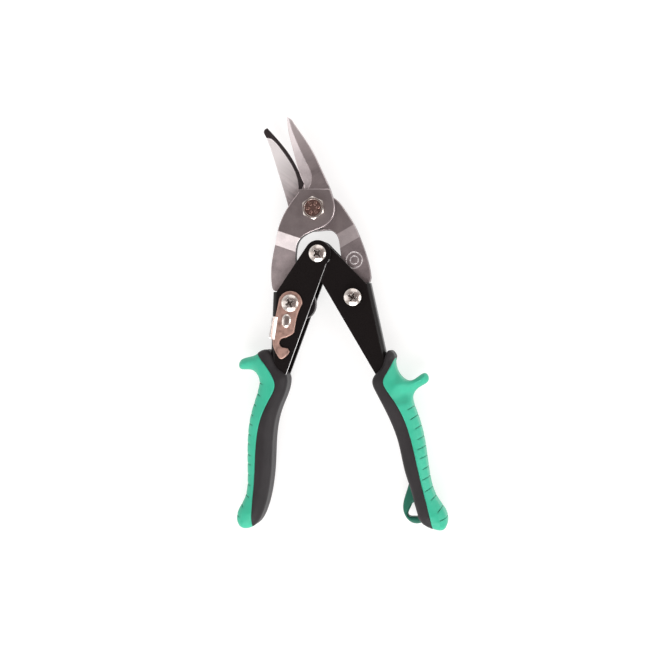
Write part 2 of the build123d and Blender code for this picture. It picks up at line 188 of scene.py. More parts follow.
class Finish:
    """A Principled material, with short calls for the nodes of its pattern."""

    def __init__(self, name, colour, roughness, metallic=0.0, **fixed):
        self.material = bpy.data.materials.new(name)
        self.material.use_nodes = True
        self.tree = self.material.node_tree
        self.shader = self.tree.nodes["Principled BSDF"]
        self.where = self.add("ShaderNodeTexCoord").outputs["Object"]
        self.shader.inputs["Base Color"].default_value = (*colour, 1)
        self.shader.inputs["Roughness"].default_value = roughness
        self.shader.inputs["Metallic"].default_value = metallic
        for socket, value in fixed.items():
            title = socket.replace("_", " ").title().replace("Ior", "IOR")
            self.shader.inputs[title].default_value = value

    def add(self, kind, **settings):
        node = self.tree.nodes.new(kind)
        for key, value in settings.items():
            setattr(node, key, value)
        return node

    def link(self, source, target):
        self.tree.links.new(source, target)

    def noise(self, per_metre, detail=3.0, stretch=(1, 1, 1), turn=0.0, rough=0.55):
        """Noise in the part's own frame; stretch below 1 draws it out along that axis."""
        place = self.add("ShaderNodeMapping")
        place.inputs["Scale"].default_value = stretch
        turned = self.add("ShaderNodeMapping")
        turned.inputs["Rotation"].default_value = (0, 0, radians(turn))
        self.link(self.where, turned.inputs["Vector"])
        self.link(turned.outputs[0], place.inputs["Vector"])
        pattern = self.add("ShaderNodeTexNoise")
        pattern.inputs["Scale"].default_value = per_metre
        pattern.inputs["Detail"].default_value = detail
        pattern.inputs["Roughness"].default_value = rough
        self.link(place.outputs[0], pattern.inputs["Vector"])
        return pattern.outputs["Fac"]

    def ranged(self, value, low, high, start, end):
        node = self.add("ShaderNodeMapRange")
        for socket, number in zip(("From Min", "From Max", "To Min", "To Max"),
                                  (low, high, start, end)):
            node.inputs[socket].default_value = number
        self.link(value, node.inputs["Value"])
        return node.outputs[0]

    def maths(self, operation, first, second):
        node = self.add("ShaderNodeMath", operation=operation)
        for socket, value in zip(node.inputs, (first, second)):
            if isinstance(value, (int, float)):
                socket.default_value = value
            else:
                self.link(value, socket)
        return node.outputs[0]

    def mixed(self, share, first, second, blend="MIX"):
        node = self.add("ShaderNodeMix", data_type="RGBA", blend_type=blend)
        if isinstance(share, (int, float)):
            node.inputs[0].default_value = share
        else:
            self.link(share, node.inputs[0])
        for socket, value in ((node.inputs[6], first), (node.inputs[7], second)):
            if isinstance(value, tuple):
                socket.default_value = (*value, 1)
            else:
                self.link(value, socket)
        return node.outputs[2]

    def clouded(self, noise, first, second):
        """A colour between two shades, spread over the middle of a noise."""
        return self.mixed(self.ranged(noise, 0.35, 0.65, 0, 1), first, second)

    def colour(self, source):
        self.link(source, self.shader.inputs["Base Color"])

    def roughness(self, source):
        self.link(source, self.shader.inputs["Roughness"])

    def bump(self, height, depth, strength, normal):
        node = self.add("ShaderNodeBump")
        node.inputs["Distance"].default_value = depth
        node.inputs["Strength"].default_value = strength
        self.link(height, node.inputs["Height"])
        self.link(normal, node.inputs["Normal"])
        self.link(node.outputs[0], self.shader.inputs["Normal"])

    def edge_wear_and_highlight(self, radius, full=0.90):
        """(mask that is 1 on sharp edges, normal that rolls over them)."""
        rolled = self.add("ShaderNodeBevel", samples=BEVEL_SAMPLES)
        rolled.inputs["Radius"].default_value = radius
        facing = self.add("ShaderNodeNewGeometry")
        dot = self.add("ShaderNodeVectorMath", operation="DOT_PRODUCT")
        self.link(rolled.outputs[0], dot.inputs[0])
        self.link(facing.outputs["Normal"], dot.inputs[1])
        return self.ranged(dot.outputs["Value"], BEVEL_START, full, 0, 1), rolled.outputs[0]

    def along(self, direction, start, end):
        """0 to 1 between two distances along a direction in the plan, in millimetres."""
        dot = self.add("ShaderNodeVectorMath", operation="DOT_PRODUCT")
        self.link(self.where, dot.inputs[0])
        dot.inputs[1].default_value = (*direction, 0)
        return self.ranged(dot.outputs["Value"], start * MM, end * MM, 0, 1)


def steel(name, tone, rough, grain_turn, grain=0.05, mottle=0.10, edge=1.7, edge_highlight_width=0.45,
          streak=0.18, metal=1.0, full=0.90, lines_per_m=2600, clear=None, fade=None):
    """Ground or tumbled tool steel: drawn-out grain, cloudy patches and sharp edges painted bright as
    a highlight.

    grain is how thin the grain's lines are and grain_turn their direction in degrees.
    mottle, streak and edge say how far patches, lines and the painted edge highlight leave the tone.
    The width argument is the painted edge highlight's width in millimetres, and full the turn at
    which it is bright.
    clear is the stretch over which the painted edge highlight sets in; fade is (stretch, far colour),
    a painted gradient towards a lighter or darker far colour.
    """
    ground = Finish(name, tone, rough, metal)
    lines = ground.noise(lines_per_m, 4, (1, grain, 1), grain_turn)
    cloud = ground.noise(130, 4)
    pits = ground.noise(1500, 3, rough=0.7)
    colour = ground.clouded(cloud, scaled(tone, 1 - mottle), scaled(tone, 1 + mottle))
    streaks = ground.ranged(lines, 0.3, 0.7, 1 - streak, 1 + streak)
    shade = ground.add("ShaderNodeCombineColor")
    for channel in shade.inputs:
        ground.link(streaks, channel)
    colour = ground.mixed(1.0, colour, shade.outputs[0], "MULTIPLY")
    # Sharp edges are lightened towards a brighter tone: a painted highlight.
    mask, rolled = ground.edge_wear_and_highlight(edge_highlight_width * MM, full)
    if clear:
        mask = ground.maths("MULTIPLY", mask, ground.along(*clear))
    colour = ground.mixed(mask, colour, scaled(tone, edge))
    # A gradient along the plan: painted light where the far colour is lighter, painted shade where it
    # is darker.
    if fade:
        stretch, painted_gradient_colour = fade
        colour = ground.mixed(ground.along(*stretch), colour, painted_gradient_colour)
    ground.colour(colour)
    matt = ground.ranged(pits, 0.3, 0.7, rough - 0.06, rough + 0.10)
    unpolished = ground.maths("SUBTRACT", 1.0, ground.maths("MULTIPLY", mask, 0.55))
    ground.roughness(ground.maths("MULTIPLY", matt, unpolished))
    height = ground.maths("ADD", lines, ground.maths("MULTIPLY", pits, 0.8))
    ground.bump(height, 0.02 * MM, 0.5, rolled)
    return ground.material


def plated(name, tone, rough, edge_highlight_width, stain, edge):
    """Bright nickel plate with faint polishing haze and edges painted light as a highlight."""
    plate = Finish(name, tone, rough, 1.0)
    haze = plate.noise(420, 4)
    specks = plate.noise(3800, 2, rough=0.7)
    mask, rolled = plate.edge_wear_and_highlight(edge_highlight_width * MM)
    colour = plate.mixed(plate.ranged(haze, 0.4, 0.7, 0, 1), tone, stain)
    plate.colour(plate.mixed(mask, colour, scaled(tone, edge)))
    plate.roughness(plate.ranged(haze, 0.3, 0.7, rough * 0.7, rough * 1.7))
    plate.bump(specks, 0.006 * MM, 0.35, rolled)
    return plate.material


def zinc(name):
    """Dull zinc with a fine crystalline bloom and edges painted light as a highlight."""
    coat = Finish(name, (0.60, 0.60, 0.58), 0.38, 1.0)
    cells = coat.add("ShaderNodeTexVoronoi")
    cells.inputs["Scale"].default_value = 900
    coat.link(coat.where, cells.inputs["Vector"])
    cloud = coat.noise(260, 3)
    mask, rolled = coat.edge_wear_and_highlight(0.3 * MM)
    body = coat.clouded(cloud, (0.50, 0.50, 0.485), (0.66, 0.66, 0.63))
    coat.colour(coat.mixed(mask, body, (0.80, 0.80, 0.78)))
    coat.roughness(coat.ranged(cells.outputs["Distance"], 0, 0.6, 0.28, 0.50))
    coat.bump(cells.outputs["Distance"], 0.01 * MM, 0.5, rolled)
    return coat.material


def lacquer(name):
    """Gloss black lacquer with orange peel, dust, and edges lightened in patches, partly worn thin by
    rubbing and partly a painted highlight.
    """
    paint = Finish(name, (0.006, 0.004, 0.004), 0.34, coat_weight=0.10, coat_roughness=0.15,
                   specular_ior_level=0.25)
    peel = paint.noise(700, 2)
    dust = paint.noise(2400, 5, rough=0.75)
    rub_and_highlight_noise = paint.noise(180, 4)
    mask, rolled = paint.edge_wear_and_highlight(0.35 * MM)
    patchy = paint.maths("MULTIPLY", mask, paint.ranged(rub_and_highlight_noise, 0.42, 0.60, 0.05, 0.75))
    dusty = paint.ranged(dust, 0.55, 0.80, 0, 1)
    body = paint.mixed(dusty, (0.005, 0.0035, 0.0035), (0.017, 0.014, 0.014))
    paint.colour(paint.mixed(patchy, body, (0.13, 0.115, 0.115)))
    paint.roughness(paint.ranged(dust, 0.3, 0.75, 0.24, 0.42))
    paint.bump(peel, 0.03 * MM, 0.35, rolled)
    return paint.material


def moulding(name, dark, light, rough, grain_depth, sheen, scuff_and_edge_light_tone):
    """Soft moulded plastic: spark-eroded grain, slight colour drift, scuffs, and edges lightened
    partly by rubbing and partly as a painted highlight.
    """
    soft = Finish(name, dark, rough, sheen_weight=sheen, sheen_roughness=0.5, specular_ior_level=0.3)
    drift = soft.noise(45, 3)
    grain = soft.noise(2300, 3, rough=0.6)
    scuffs = soft.noise(600, 5, (1, 0.25, 1), 20, 0.7)
    mask, rolled = soft.edge_wear_and_highlight(0.5 * MM)
    body = soft.clouded(drift, dark, light)
    speck = soft.maths("MULTIPLY", soft.ranged(scuffs, 0.60, 0.78, 0, 1), 0.25)
    body = soft.mixed(speck, body, scuff_and_edge_light_tone)
    soft.colour(soft.mixed(soft.maths("MULTIPLY", mask, 0.35), body, scuff_and_edge_light_tone))
    soft.roughness(soft.ranged(grain, 0.3, 0.7, rough - 0.07, rough + 0.10))
    soft.bump(grain, grain_depth * MM, 0.6, rolled)
    return soft.material


def finishes():
    # The front tail darkens to this where it runs under the channel wall: painted shade.
    under_wall_shade = (0.018, 0.015, 0.016)
    return {
        "boss": steel("steel_boss", (0.33, 0.285, 0.288), 0.36, 8, grain=0.35, mottle=0.08, edge_highlight_width=0.9,
                      edge=2.7, streak=0.06, metal=0.85, clear=((0, -1), -10.9, -10.2)),
        # tail and front_tail are one tumbled steel in a darker and a lighter tone: painted shade and
        # painted light.
        "tail": steel("steel_tail_painted_shade", (0.268, 0.226, 0.23), 0.46, -20, grain=0.6, mottle=0.17,
                      edge_highlight_width=0.28, streak=0.12, metal=0.75),
        "front_tail": steel("steel_front_tail_painted_light_and_shade", (0.43, 0.37, 0.375), 0.46, -20, grain=0.6,
                            mottle=0.17, edge_highlight_width=0.4, streak=0.12, metal=0.75,
                            fade=(((0, -1), 48, 51), under_wall_shade)),
        # The blade lightens towards its tip: painted light.
        "blade": steel("steel_blade", (0.38, 0.33, 0.335), 0.33, 62, mottle=0.12, edge_highlight_width=0.9, edge=2.4,
                       streak=0.12, metal=0.85, full=0.965, clear=((0, 1), 12.4, 13.4),
                       fade=(((-0.18, 0.98), 22, 52), (0.86, 0.78, 0.785))),
        # The shear face lightens to near white towards the tip: painted light.
        "shear": steel("steel_shear", (0.44, 0.39, 0.395), 0.34, -48, grain=0.04, mottle=0.14,
                       streak=0.22, metal=0.45, lines_per_m=800,
                       fade=(((-0.5, 0.866), 14, 40), (1.0, 0.96, 0.96))),
        "land": steel("steel_land", (0.085, 0.072, 0.075), 0.42, -30, edge=2.2, mottle=0.14),
        # joggle and rear_joggle are one steel in a lighter and a darker tone: painted light and
        # painted shade.
        "joggle": steel("steel_joggle_painted_light", (0.76, 0.69, 0.69), 0.40, -20, grain=0.3,
                        streak=0.07, metal=0.55),
        "rear_joggle": steel("steel_rear_joggle_painted_shade", (0.50, 0.44, 0.445), 0.40, -20, grain=0.3,
                             streak=0.07, metal=0.8),
        "nickel": plated("nickel_plate", (0.80, 0.75, 0.71), 0.15, 0.2, (0.64, 0.56, 0.51), 1.3),
        # Faces deep in a screw's cross get this darker tone: painted shade in the recess.
        "cross": plated("cross_recess", (0.20, 0.165, 0.15), 0.28, 0.10, (0.10, 0.085, 0.08), 3.2),
        # The bolt head's recess gets this darker copper tone: painted shade.
        "recess": plated("bolt_recess_painted_shade", (0.30, 0.19, 0.165), 0.30, 0.16, (0.19, 0.115, 0.10), 3.4),
        # The latch plate's copper tone is a painted reflection of warm surroundings on the plate, and
        # the tab's near-white tone on the same plate is a painted highlight.
        "latch": plated("latch_plate", (0.58, 0.38, 0.32), 0.42, 0.35, (0.53, 0.335, 0.28), 1.75),
        "tab": plated("latch_tab", (1.0, 0.98, 0.96), 0.34, 0.3, (0.95, 0.91, 0.89), 1.0),
        "zinc": zinc("zinc_plate"),
        "lacquer": lacquer("black_lacquer"),
        # Near white for the channel's sheared edges: a painted highlight.
        "cut": steel("cut_edge_painted_highlight", (0.92, 0.90, 0.90), 0.40, 0, edge=1.1, metal=0.5),
        "black": moulding("black_moulding", (0.017, 0.0145, 0.016), (0.025, 0.021, 0.023), 0.50,
                          0.045, 0.03, (0.06, 0.054, 0.057)),
        "green": moulding("green_moulding", (0.034, 0.43, 0.268), (0.048, 0.49, 0.315), 0.44,
                          0.035, 0.04, (0.15, 0.60, 0.45)),
        # A darker copy of the green for the finger grooves: painted shade.
        "groove": moulding("green_groove_painted_shade", (0.016, 0.24, 0.145), (0.022, 0.27, 0.165), 0.6,
                           0.035, 0.02, (0.04, 0.32, 0.21)),
        # A darker copy of the green for the hanging loop, which lies in shade under the grip: painted
        # shade.
        "loop": moulding("loop_moulding_painted_shade", (0.009, 0.125, 0.078), (0.012, 0.148, 0.094), 0.46,
                         0.035, 0.03, (0.05, 0.30, 0.21)),
        "spring": steel("spring_wire", (0.20, 0.19, 0.19), 0.34, 0, edge=1.3),
    }


def paint_node(node, main, rules=()):
    """Gives a CAD node its main finish, and other finishes to the faces that a rule picks."""
    mesh = NODES[node].data
    mesh.materials.clear()
    mesh.materials.append(FINISH[main])
    for finish, picks in rules:
        mesh.materials.append(FINISH[finish])
        index = len(mesh.materials) - 1
        for face in mesh.polygons:
            if picks(face.normal, face.center / MM):
                face.material_index = index


# ------------------------------------------------------ outlines from the frame

FLAT = 0.99
SAME_LEVEL = 0.02
CORNER_TURN = 32
SHORTEST_EDGE = 0.01
FAIRING = (0.5, -0.52) * 5


def left_of(way):
    """A direction in the plan, turned a quarter to the left."""
    return np.array([-way[1], way[0]])


def rotated(way, angle):
    """A direction in the plan, turned to the left by an angle in radians."""
    x, y = way
    return np.array([x * cos(angle) - y * sin(angle), x * sin(angle) + y * cos(angle)])


def face_loops(node, level, side=1):
    """Closed outlines of a CAD node's flat face at a level, the longest first, in millimetres."""
    mesh = NODES[node].data
    open_edges = set()
    for face in mesh.polygons:
        if face.normal.z * side < FLAT or abs(face.center.z / MM - level) > SAME_LEVEL:
            continue
        ring = [tuple(np.round(np.array(mesh.vertices[i].co[:2]) / MM, 3)) for i in face.vertices]
        for start, end in zip(ring, ring[1:] + ring[:1]):
            if (end, start) in open_edges:
                open_edges.remove((end, start))
            else:
                open_edges.add((start, end))
    follow = dict(open_edges)
    loops = []
    while follow:
        first, point = follow.popitem()
        loop = [first]
        while point != first and point in follow:
            loop.append(point)
            point = follow.pop(point)
        loops.append(np.array(loop)[::side])
    return sorted(loops, key=lambda loop: -np.ptp(loop, axis=0).sum())


def turning(loop):
    """How far the outline turns at each point, in degrees."""
    back = loop - np.roll(loop, 1, 0)
    ahead = np.roll(loop, -1, 0) - loop
    cosine = (back * ahead).sum(1) / (np.hypot(*back.T) * np.hypot(*ahead.T) + TINY)
    return np.degrees(np.arccos(np.clip(cosine, -1, 1)))


def resample(loop, step):
    """Even points along an outline that keep its corners, then faired between them."""
    loop = loop[np.hypot(*(loop - np.roll(loop, 1, 0)).T) > SHORTEST_EDGE]
    corners = np.flatnonzero(turning(loop) > CORNER_TURN)
    if len(corners) == 0:
        corners = np.array([0])
    loop = np.roll(loop, -corners[0], 0)
    stops = [*(corners - corners[0]), len(loop)]
    closed = np.vstack([loop, loop[:1]])
    points, fixed = [], []
    for start, end in zip(stops, stops[1:]):
        stretch = closed[start:end + 1]
        reach = np.concatenate([[0], np.cumsum(np.hypot(*np.diff(stretch, axis=0).T))])
        count = max(1, ceil(reach[-1] / step))
        for place in np.linspace(0, reach[-1], count, endpoint=False):
            points.append([np.interp(place, reach, stretch[:, axis]) for axis in (0, 1)])
            fixed.append(place == 0)
    points, free = np.array(points), ~np.array(fixed)
    for weight in FAIRING:
        pull = (np.roll(points, 1, 0) + np.roll(points, -1, 0)) / 2 - points
        points[free] += weight * pull[free]
    return points


def inward(loop):
    """Unit normals into the area to the left of the outline."""
    run = np.roll(loop, -1, 0) - np.roll(loop, 1, 0)
    run /= np.hypot(*run.T)[:, None] + TINY
    return np.stack([-run[:, 1], run[:, 0]], 1)


def distance(points, starts, ends):
    """Distance from each point to the nearest of the segments."""
    nearest = np.full(len(points), FAR)
    for start, end in zip(starts, ends):
        run = end - start
        share = np.clip(((points - start) @ run) / (run @ run + TINY), 0, 1)
        nearest = np.minimum(nearest, np.hypot(*(points - start - share[:, None] * run).T))
    return nearest


def inside(points, loops):
    """True where a point is inside an odd number of the outlines."""
    crossings = np.zeros(len(points), int)
    for loop in loops:
        for (x0, y0), (x1, y1) in zip(loop, np.roll(loop, -1, 0)):
            spans = (y0 > points[:, 1]) != (y1 > points[:, 1])
            cut = (x1 - x0) * (points[:, 1] - y0) / (y1 - y0 + TINY) + x0
            crossings += spans & (points[:, 0] < cut)
    return crossings % 2 == 1


def link_mesh(name, points, faces, finish, sharp=35):
    """A mesh object from millimetre points, smooth but for edges sharper than an angle."""
    mesh = bpy.data.meshes.new(name)
    mesh.from_pydata([tuple(np.asarray(p) * MM) for p in points], [], faces)
    mesh.validate()
    mesh.polygons.foreach_set("use_smooth", [True] * len(mesh.polygons))
    mesh.set_sharp_from_angle(angle=radians(sharp))
    mesh.materials.append(FINISH[finish])
    made = bpy.data.objects.new(name, mesh)
    bpy.context.scene.collection.objects.link(made)
    return made


def bands(rings, around, first=0):
    """Quads between neighbouring rings of points, wound outward for rings that run downward."""
    faces = []
    for row in range(rings - 1):
        for step in range(around):
            a, b = (first + row * around + spot for spot in (step, (step + 1) % around))
            faces.append((a, a + around, b + around, b))
    return faces


def domed_faces(rings, around):
    """Faces of a body of rings under one crown point, with a flat foot."""
    fan = [(0, 1 + step, 1 + (step + 1) % around) for step in range(around)]
    last = 1 + (rings - 1) * around
    return fan + bands(rings, around, 1) + [tuple(reversed(range(last, last + around)))]


def capped_faces(rings, around):
    """Faces of a body of rings with two flat ends."""
    sides = [(a, d, c, b) for a, b, c, d in bands(rings, around)]
    last = (rings - 1) * around
    return sides + [tuple(reversed(range(around))), tuple(range(last, last + around))]


def settle(piece, body, slot, *nodes):
    """Ties a finished piece to its body and hides the nodes that it stands for; slot is not used."""
    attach(piece, body)
    if nodes:
        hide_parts(*nodes)


# ------------------------------------------------------------- moulded pieces

ROUND_STEPS = (12, 24, 36, 48, 60, 72, 90)
RING_ROOM = 0.96
ROW_PITCH = 0.87
FILL_ROOM = 0.3
THINNEST_HALF = 0.05


def rounding(gap, radius):
    """How far a rounded edge has dropped at a distance in from it."""
    return radius - np.sqrt(np.maximum(radius**2 - np.maximum(radius - gap, 0)**2, 0))


class Moulded:
    """A thick piece with rounded edges over an outline.

    seam tells which outline points belong to a tight joint with a neighbour; those get
    the seam radius.  marks are extra points for the mesh.  hollows are dips in the face as
    (start, end, reach, depth) and grooves cuts in it as (start, way, length).  shoulder is
    (width, fall) of the slope inside the edge, parting the depth of the line round the wall,
    and thin the share of the full thickness at each point.
    """

    def __init__(self, loops, low, high, radius, seam=None, seam_radius=0.4, spacing=1.4):
        self.loops, self.low, self.high = loops, low, high
        self.radius, self.seam_radius, self.spacing = radius, seam_radius, spacing
        self.seam = seam or [np.zeros(len(loop), bool) for loop in loops]
        self.marks = []
        self.grooves = []
        self.hollows = []
        self.shoulder = (1.0, 0.0)
        self.parting = 0.0
        self.thin = lambda points: np.ones(len(points))

    def segments(self, wanted):
        starts, ends = [], []
        for loop, seam in zip(self.loops, self.seam):
            on_seam = seam & np.roll(seam, -1)
            keep = on_seam == wanted
            starts += list(loop[keep])
            ends += list(np.roll(loop, -1, 0)[keep])
        return starts, ends

    def inner_points(self):
        """Rings that follow the rounded edges, then an even fill."""
        rim, seam = self.segments(False), self.segments(True)
        rings = []
        for loop, on_seam in zip(self.loops, self.seam):
            normal = inward(loop)
            for kind, radius in ((False, self.radius), (True, self.seam_radius)):
                base, way = loop[on_seam == kind], normal[on_seam == kind]
                for angle in ROUND_STEPS:
                    gap = radius * (1 - cos(radians(angle)))
                    ring = base + way * gap
                    room = distance(ring, rim[0] + seam[0], rim[1] + seam[1])
                    rings.append(ring[room > gap * RING_ROOM])
        low, high = self.loops[0].min(0), self.loops[0].max(0)
        across = np.arange(low[0], high[0], self.spacing)
        upward = np.arange(low[1], high[1], self.spacing * ROW_PITCH)
        fill = np.array([(x + (row % 2) * self.spacing / 2, y)
                         for row, y in enumerate(upward) for x in across])
        fill = fill[inside(fill, self.loops)]
        room = distance(fill, rim[0] + seam[0], rim[1] + seam[1])
        rings.append(fill[room > self.radius + FILL_ROOM * self.spacing])
        if self.marks:
            rings.append(np.array(self.marks))
        points = np.vstack(rings)
        return points[inside(points, self.loops)]

    def drop(self, points):
        """How far the face lies under the crown at each point."""
        rim, seam = self.segments(False), self.segments(True)
        width, lowered = self.shoulder
        gap = distance(points, *rim)
        fall = rounding(gap, self.radius) + lowered * np.clip(1 - gap / width, 0, 1)
        if len(seam[0]):
            fall = fall + rounding(distance(points, *seam), self.seam_radius)
        for start, end, reach, depth in self.hollows:
            share = distance(points, [np.array(start)], [np.array(end)]) / reach
            fall = fall + depth * np.clip(1 - share**2, 0, 1)**2
        for start, way, length in self.grooves:
            run, aside = groove_place(points, start, way)
            fade = np.clip((length - run) / (GROOVE_RUN_OUT * length), 0, 1) * (run > -GROOVE_BACK)
            fall = fall + GROOVE_DEPTH * np.clip(1 - aside / GROOVE_HALF, 0, 1) * fade
        return fall

    def build(self, name, finish):
        outline = np.vstack(self.loops)
        normals = np.vstack([inward(loop) for loop in self.loops])
        edges, first = [], 0
        for loop in self.loops:
            count = len(loop)
            edges += [(first + i, first + (i + 1) % count) for i in range(count)]
            first += count
        plan = np.vstack([outline, self.inner_points()])
        flat, _, faces, origin, _, _ = delaunay_2d_cdt(
            [Vector(p) for p in plan], edges, [], 0, 1e-4)
        flat = np.array([tuple(p) for p in flat])
        middle = np.array([flat[list(face)].mean(0) for face in faces])
        faces = [tuple(face) for face, good in zip(faces, inside(middle, self.loops)) if good]
        new_index = {old: new for new, olds in enumerate(origin) for old in olds}
        half = (self.high - self.low) / 2 * self.thin(flat)
        mean = (self.high + self.low) / 2
        rise = half - np.minimum(self.drop(flat), half - THINNEST_HALF)
        top = np.column_stack([flat, mean + rise])
        bottom = np.column_stack([flat, mean - rise])
        count = len(flat)
        points = list(top) + list(bottom)
        solid = list(faces) + [tuple(i + count for i in reversed(face)) for face in faces]
        levels = self.wall_levels()
        rows = {}
        for start, end in edges:
            for corner in (start, end):
                if corner in rows:
                    continue
                spot = new_index[corner]
                rows[corner] = [spot]
                for share, inset in levels:
                    place = flat[spot] + normals[corner] * inset
                    rows[corner].append(len(points))
                    points.append((*place, mean + rise[spot] * share))
                rows[corner].append(spot + count)
            for a, b, c, d in zip(rows[start], rows[start][1:], rows[end][1:], rows[end]):
                solid.append((a, b, c, d))
        return link_mesh(name, points, solid, finish)

    def wall_levels(self):
        """(height as a share of the half wall, inset) down a side wall."""
        if not self.parting:
            return [(0.5, 0), (0, 0), (-0.5, 0)]
        upper = [(0.7, 0), (0.35, 0), (0.035, 0)]
        lower = [(-share, inset) for share, inset in reversed(upper)]
        return upper + [(0, self.parting)] + lower


# ----------------------------------------------------------------------- grips

COVER_ROUND, COVER_SEAM = 4.4, 0.55
CORE_ROUND, CORE_SEAM = 2.2, 0.3
GRIP_STEP = 0.8
SEAM_GAP = 0.06
LOOP_ROUND = 1.5
LOOP_STEP, LOOP_SPACING = 0.6, 1.0
CORE_SHOULDER = (5.0, 2.6)
COVER_SHOULDER = (8.0, 2.0)
GROOVE_PITCH = 5.9
GROOVE_DEPTH = 0.7
GROOVE_NOTCH = 0.3
GROOVE_HALF = 0.32
GROOVE_SLANT = radians(14)
GROOVE_RUN_OUT = 0.3
GROOVE_BACK = 1.0
GROOVE_UNEVEN = 0.18
GROOVE_BEAT = 1.9
OUTER_WALL = 0.5
WALL_MISS = 1.0
MARK_START, MARK_PAST, MARK_STEP = 0.7, 0.6, 0.55
# Extent of the painted shade along and across each finger groove.
GROOVE_SHADE_WIDTH, GROOVE_SHADE_BACK, GROOVE_SHADE_END = 0.75, 0.4, 0.9
GROOVE_LENGTH = {"left": 3.6, "right": 4.6}
PARTING_LINE = 0.18
HORN_REACH = 16.0
HORN_TIP_SHARE = 0.6
HOLLOWS = {
    "left": [((-50.0, -93.5), (-44.5, -90.0), 4.5, 1.0)],
    "right": [((41.5, -113.2), (50.0, -110.8), 6.6, 3.6), ((38.5, -104.0), (40.5, -99.0), 3.6, 1.0)],
}


def seam_mask(loop, partner):
    """Outline points that lie on a neighbour's outline."""
    return distance(loop, partner, np.roll(partner, -1, 0)) < SEAM_GAP


def groove_place(points, start, way):
    """Distances of points along a groove and aside from its middle."""
    offset = points - start
    return offset @ way, np.abs(offset @ left_of(way))


def cut_grooves(piece, side, reach, highest, lowest):
    """Finger grooves of uneven length that notch the outer wall and run in over the face."""
    loop = piece.loops[0]
    normal = inward(loop)
    outer = (normal[:, 0] * side < -OUTER_WALL) & ~piece.seam[0]
    count = int((highest - lowest) / GROOVE_PITCH) + 1
    for number in range(count):
        level = highest - number * GROOVE_PITCH
        gap = np.where(outer, np.abs(loop[:, 1] - level), FAR)
        here = int(gap.argmin())
        if gap[here] > WALL_MISS:
            continue
        spot, way = loop[here].copy(), normal[here].copy()
        run = -left_of(way)
        loop[(here + 1) % len(loop)] = spot + run * GROOVE_HALF
        loop[here - 1] = spot - run * GROOVE_HALF
        loop[here] = spot + way * GROOVE_NOTCH
        turned = rotated(way, GROOVE_SLANT * side)
        length = reach * (1 - GROOVE_UNEVEN + GROOVE_UNEVEN * sin(number * GROOVE_BEAT))
        piece.grooves.append((spot, turned, length))
        for step in np.arange(MARK_START, length + MARK_PAST, MARK_STEP):
            for share in (-1, -0.5, 0, 0.5, 1):
                piece.marks.append(spot + turned * step + left_of(turned) * (GROOVE_HALF * share))


def paint_groove_shade(shell, grooves):
    """Painted shade in the finger grooves: faces along each groove get the darker groove green."""
    mesh = shell.data
    mesh.materials.append(FINISH["groove"])
    plan = np.array([tuple(face.center)[:2] for face in mesh.polygons]) / MM
    for start, way, length in grooves:
        run, aside = groove_place(plan, start, way)
        along = (run > -GROOVE_SHADE_BACK) & (run < GROOVE_SHADE_END * length)
        dark = along & (aside < GROOVE_HALF * GROOVE_SHADE_WIDTH)
        for index in np.flatnonzero(dark):
            mesh.polygons[index].material_index = 1


def thinned(tip):
    """The share of the thickness that is left near a horn's tip."""
    def share(points):
        away = np.clip(np.hypot(*(points - tip).T) / HORN_REACH, 0, 1)
        return HORN_TIP_SHARE + (1 - HORN_TIP_SHARE) * away * away * (3 - 2 * away)
    return share


def horn_tip(loop, side, low_y, high_y):
    """The outermost outline point between two heights."""
    zone = loop[(loop[:, 1] > low_y) & (loop[:, 1] < high_y)]
    return zone[(zone[:, 0] * side).argmax()]


def grip(hand, side, body, highest, lowest, horn_zone):
    """One two-colour grip: the green cover and the black core under it."""
    core_node, cover_node = f"{hand}_grip_core", f"{hand}_grip_cover"
    cover_low, cover_high = (corner.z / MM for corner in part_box(cover_node))
    core_low, core_high = (corner.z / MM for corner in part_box(core_node))
    cover_raw = face_loops(cover_node, cover_high)[0]
    core_raw = face_loops(core_node, core_high)[0]
    cover_loop, core_loop = resample(cover_raw, GRIP_STEP), resample(core_raw, GRIP_STEP)
    cover = Moulded([cover_loop], cover_low, cover_high, COVER_ROUND,
                    [seam_mask(cover_loop, core_raw)], COVER_SEAM)
    core = Moulded([core_loop], core_low, core_high, CORE_ROUND,
                   [seam_mask(core_loop, cover_raw)], CORE_SEAM)
    cover.thin = core.thin = thinned(horn_tip(cover_loop, side, *horn_zone))
    cover.parting = core.parting = PARTING_LINE
    cover.hollows = HOLLOWS[hand]
    core.shoulder, cover.shoulder = CORE_SHOULDER, COVER_SHOULDER
    cut_grooves(cover, side, GROOVE_LENGTH[hand], highest, lowest)
    shell = cover.build(f"{hand}_cover_moulding", "green")
    paint_groove_shade(shell, cover.grooves)
    settle(shell, body, "green_grip", cover_node)
    settle(core.build(f"{hand}_core_moulding", "black"), body, "black_grip", core_node)


def hanging_loop():
    """The rounded loop at the foot of the right grip, with its hole."""
    low, high = (corner.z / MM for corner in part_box("hang_loop"))
    loops = [resample(loop, LOOP_STEP) for loop in face_loops("hang_loop", high)[:2]]
    piece = Moulded(loops, low, high, LOOP_ROUND, spacing=LOOP_SPACING)
    settle(piece.build("hang_loop_moulding", "loop"), "right_handle", "green_grip", "hang_loop")


# ----------------------------------------------------------------------- latch

